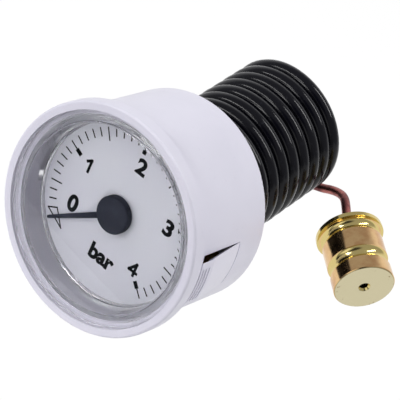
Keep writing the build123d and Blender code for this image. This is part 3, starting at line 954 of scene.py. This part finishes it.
@dataclass
class Capillary:
    """Sheathed copper tube: a lead from the case, a left-hand coil and a bare tail."""

    exit: tuple[float, float, float] = (-5.6, 20.8, -10.5)
    floor_y: float = 19.3
    base: tuple[float, float, float] = (0.57, 20.8, 0.45)
    yaw: float = -2.45
    tilt: float = 14.8
    coil_r: float = 11.8
    pitch: float = 3.1
    start: float = 4.3
    turns: int = 9
    end_deg: float = 72.0
    per_turn: int = 16
    sheath_r: float = 1.525
    copper_r: float = 0.86
    tail_back: float = 1.6
    tail_in: float = 2.0
    length_m: float = 0.69
    tail_by_hand: tuple[tuple[float, float, float], ...] = (
        (10.22, 53.99, 0.35), (13.17, 53.64, 2.0), (16.07, 52.44, 3.1), (18.3, 50.24, 3.11),
    )

    def axes(self) -> tuple[np.ndarray, np.ndarray, np.ndarray]:
        """Directions of the coil.

        Returns:
            Its axis, its side direction and its down direction, each of length 1.
        """
        yaw, rise = math.radians(self.yaw), math.radians(self.tilt)
        level = math.cos(yaw)
        axis = np.array([math.sin(yaw), level * math.cos(rise), level * math.sin(rise)])
        side = np.array([1.0, 0.0, 0.0]) - axis * axis[0]
        side /= np.linalg.norm(side)
        return axis, side, np.cross(axis, side)

    def on_coil(self, turns: np.ndarray, radius: np.ndarray) -> np.ndarray:
        """Points of the helix.

        After t turns a point is base + axis (start + pitch t) + radius (side cos p + down sin p),
        with p = 90 degrees - 360 t, so the coil is left-handed.

        Args:
            turns: Turns from the start.
            radius: Distance from the axis at each of them.

        Returns:
            The points in millimetres, three columns.
        """
        axis, side, down = self.axes()
        phase = math.pi / 2 - 2 * math.pi * turns[:, None]
        along = self.start + self.pitch * turns[:, None]
        spoke = side * np.cos(phase) + down * np.sin(phase)
        return np.array(self.base) + axis * along + radius[:, None] * spoke

    def build(self) -> None:
        total = self.turns + (90.0 - self.end_deg) / 360.0
        steps = int(round(total * self.per_turn))
        turns = np.linspace(0.0, total, steps + 1)
        step = total / steps
        # Mid-span, an order 3 spline is 3/4 of one control point and 1/8 of each neighbour, so its
        # radius is theirs times 3/4 + cos(step) / 4, and the points stand out by the inverse.
        control = np.full(steps + 1, self.coil_r / (0.75 + 0.25 * math.cos(2 * math.pi * step)))
        control[[0, -1]] = self.coil_r
        helix = self.on_coil(turns, control)
        east, north = self.exit[0], self.exit[2]
        lead = np.array([[east, self.floor_y, north], [east, helix[0, 1], north]])
        sheath = nurbs("capillary_sheath", np.concatenate([lead, helix]), self.sheath_r, 5, 4)
        fit(sheath, Slot.SHEATH, "gauge")
        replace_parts(sheath, "capillary_lead", "capillary_coil")
        rear, out = np.array(PLUG_REAR), np.array(PLUG_DIR)
        out /= np.linalg.norm(out)
        ends = [rear - out * self.tail_back, rear + out * self.tail_in]
        route = np.concatenate([helix[-1:], np.array(self.tail_by_hand), ends])
        tail = nurbs("copper_tail", route, self.copper_r, 5, 12)
        fit(tail, Slot.COPPER, "gauge")
        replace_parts(tail, "capillary_tail")
        plug = paint(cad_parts["plug_fitting"], Slot.PLUG)


@dataclass(frozen=True)
class Lamp:
    """Soft lamp, placed along the picture's right, up and towards-the-viewer axes.

    Its long side lies level and is then turned about the way it faces.
    """

    name: str
    place: tuple[float, float, float]
    size: tuple[float, float]
    power: float
    turn: float


@dataclass
class Studio:
    """Camera, soft lamps, a pale tent with an opening for the camera, and a pale floor."""

    azimuth: float = 26.178
    elevation: float = 28.654
    roll: float = 25.156
    distance: float = 372.01
    focal_px: float = 2146.97
    frame_px: float = 400.0
    origin_px: tuple[float, float] = (106.475, 217.177)
    floor_z: float = -75.0
    table_mm: tuple[float, float, float, float] = (-1500.0, 1500.0, -80.0, 1500.0)
    tent: float = 0.46
    below: float = 0.6
    opening: float = 0.93
    opening_soft: float = 0.05
    opening_dark: float = 0.92
    flag: float = 0.9
    flag_soft: float = 0.07
    flag_dark: float = 0.97
    floor_shown: float = 0.88
    floor_glow: float = 1.04
    sensor: float = 36.0
    aim: tuple[float, float, float] = (0.01, 0.02, 0.0)
    lamps: tuple[Lamp, ...] = (
        Lamp("left_lamp", (-380.0, 330.0, 330.0), (520.0, 60.0), 1.4, 48.0),
        Lamp("right_lamp", (470.0, 270.0, 120.0), (400.0, 65.0), 1.5, 17.0),
        Lamp("front_lamp", (-400.0, 100.0, 440.0), (360.0, 100.0), 1.1, 0.0),
        Lamp("low_lamp", (-100.0, -250.0, 450.0), (300.0, 300.0), 0.2, 0.0),
    )

    def __post_init__(self) -> None:
        """Picture axes: azimuth and elevation turn them round the origin, then the roll."""
        a, e, r = (math.radians(v) for v in (self.azimuth, self.elevation, self.roll))
        self.back = Vector((math.sin(a) * math.cos(e), -math.cos(a) * math.cos(e), math.sin(e)))
        level = (-self.back).cross(Vector((0.0, 0.0, 1.0))).normalized()
        rise = level.cross(-self.back)
        self.right = level * math.cos(r) + rise * math.sin(r)
        self.up = rise * math.cos(r) - level * math.sin(r)

    def camera(self) -> None:
        """Place the camera so that the frame's origin lands on its pixel.

        The sideways offset is the origin's pixel offset times the distance over the focal length.
        """
        half, scale = self.frame_px / 2, self.distance / self.focal_px
        across, down = (self.origin_px[0] - half) * scale, (self.origin_px[1] - half) * scale
        place = self.back * self.distance - self.right * across + self.up * down
        data = bpy.data.cameras.new("camera")
        data.sensor_width, data.lens = self.sensor, self.focal_px * self.sensor / self.frame_px
        data.clip_start, data.clip_end = 0.01, 20.0
        camera = bpy.data.objects.new("camera", data)
        turn = Matrix((self.right, self.up, self.back)).transposed().to_4x4()
        camera.matrix_world = Matrix.Translation(place * MM) @ turn
        bpy.context.scene.collection.objects.link(camera)
        bpy.context.scene.camera = camera

    def light(self) -> None:
        """Soft lamps that face the object."""
        for lamp in self.lamps:
            data = bpy.data.lights.new(lamp.name, "AREA")
            data.shape, data.energy = "RECTANGLE", lamp.power
            data.size, data.size_y = (side * MM for side in lamp.size)
            made = bpy.data.objects.new(lamp.name, data)
            across, rise, near = lamp.place
            spot = (self.right * across + self.up * rise + self.back * near) * MM
            facing = (Vector(self.aim) - spot).normalized()
            side = self.right - facing * self.right.dot(facing)
            side = Quaternion(facing, math.radians(lamp.turn)) @ side.normalized()
            turned = Matrix((side, side.cross(facing), -facing)).transposed().to_4x4()
            made.matrix_world = Matrix.Translation(spot) @ turned
            bpy.context.scene.collection.objects.link(made)

    def surround(self) -> None:
        """Tent round the object: white where it is seen, with a dark opening for the camera.

        The opening is where the direction's dot product with the camera's is near 1, and a dark
        flag stands the same way round the direction that the pane mirrors. The tent is dimmer
        below the table's level, where its direction's height goes under zero. Clear plastic shows
        it white but for the flag, and gloss that looks away from the camera mirrors it white.
        """
        world = bpy.data.worlds.new("surround")
        bpy.context.scene.world = world
        graph = Graph(world, "Background")
        way = graph.node("ShaderNodeTexCoord", {}, {}, "Generated")
        facing = graph.toward(way, tuple(self.back))
        flagged = graph.toward(way, (-self.back.x, self.back.y, -self.back.z))
        height = graph.node("ShaderNodeSeparateXYZ", {}, {0: way}, 2)
        lit = self.below + (1.0 - self.below) * height.above(-0.1, 0.12)
        open_to = facing.above(self.opening, self.opening_soft)
        cloth = self.tent * lit * (1.0 - self.opening_dark * open_to)
        clear = 1.0 - self.flag_dark * flagged.above(self.flag, self.flag_soft)
        camera, through, shiny = graph.rays()
        seen = camera.larger(through * clear).larger(shiny * (0.0 - facing).above(0.3, 0.2))
        graph.set(Color=(0.985, 0.988, 1.0, 1.0), Strength=cloth * clear * (1.0 - seen) + seen)

    def floor(self) -> None:
        """Pale table that shows white behind the object and keeps a faint shadow."""
        left, right, front, rear = self.table_mm
        corners = np.array([[left, front], [right, front], [right, rear], [left, rear]])
        points = np.c_[corners, np.full(4, self.floor_z)]
        floor = mesh_from("floor", points, np.array([[0, 1, 2, 3]]))
        made = bpy.data.materials.new("pale_floor")
        graph = Graph(made)
        cloud = graph.noise(graph.place(), 6.0)
        graph.set(Base_Color=graph.mix(cloud, grey(0.86), grey(0.9)), Roughness=0.8)
        light = {"Color": grey(1.0), "Strength": self.floor_glow}
        glow = graph.node("ShaderNodeEmission", {}, light)
        camera, through, shiny = graph.rays()
        seen = camera.larger(through).larger(shiny)
        base = Wire(graph, graph.surface.outputs[0])
        inputs = {0: seen * self.floor_shown, 1: base, 2: glow}
        mixed = graph.node("ShaderNodeMixShader", {}, inputs)
        graph.feed(graph.tree.nodes["Material Output"].inputs["Surface"], mixed)
        floor.data.materials.append(made)

    def build(self) -> None:
        """Camera, lamps, tent and floor."""
        bpy.context.scene.view_settings.view_transform = "Standard"
        self.camera()
        self.light()
        self.surround()
        self.floor()
        LOG.info("studio ready with %d lamps", len(self.lamps))


def main() -> None:
    """Build the scene."""
    logging.basicConfig(level=logging.INFO, format="%(name)s: %(message)s")
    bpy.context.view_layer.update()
    for part in (Studio(), Capillary(), Casing(), LensCup(), DialPrint(), Movement()):
        part.build()
    bpy.context.view_layer.update()


if __name__ == "__main__":
    main()
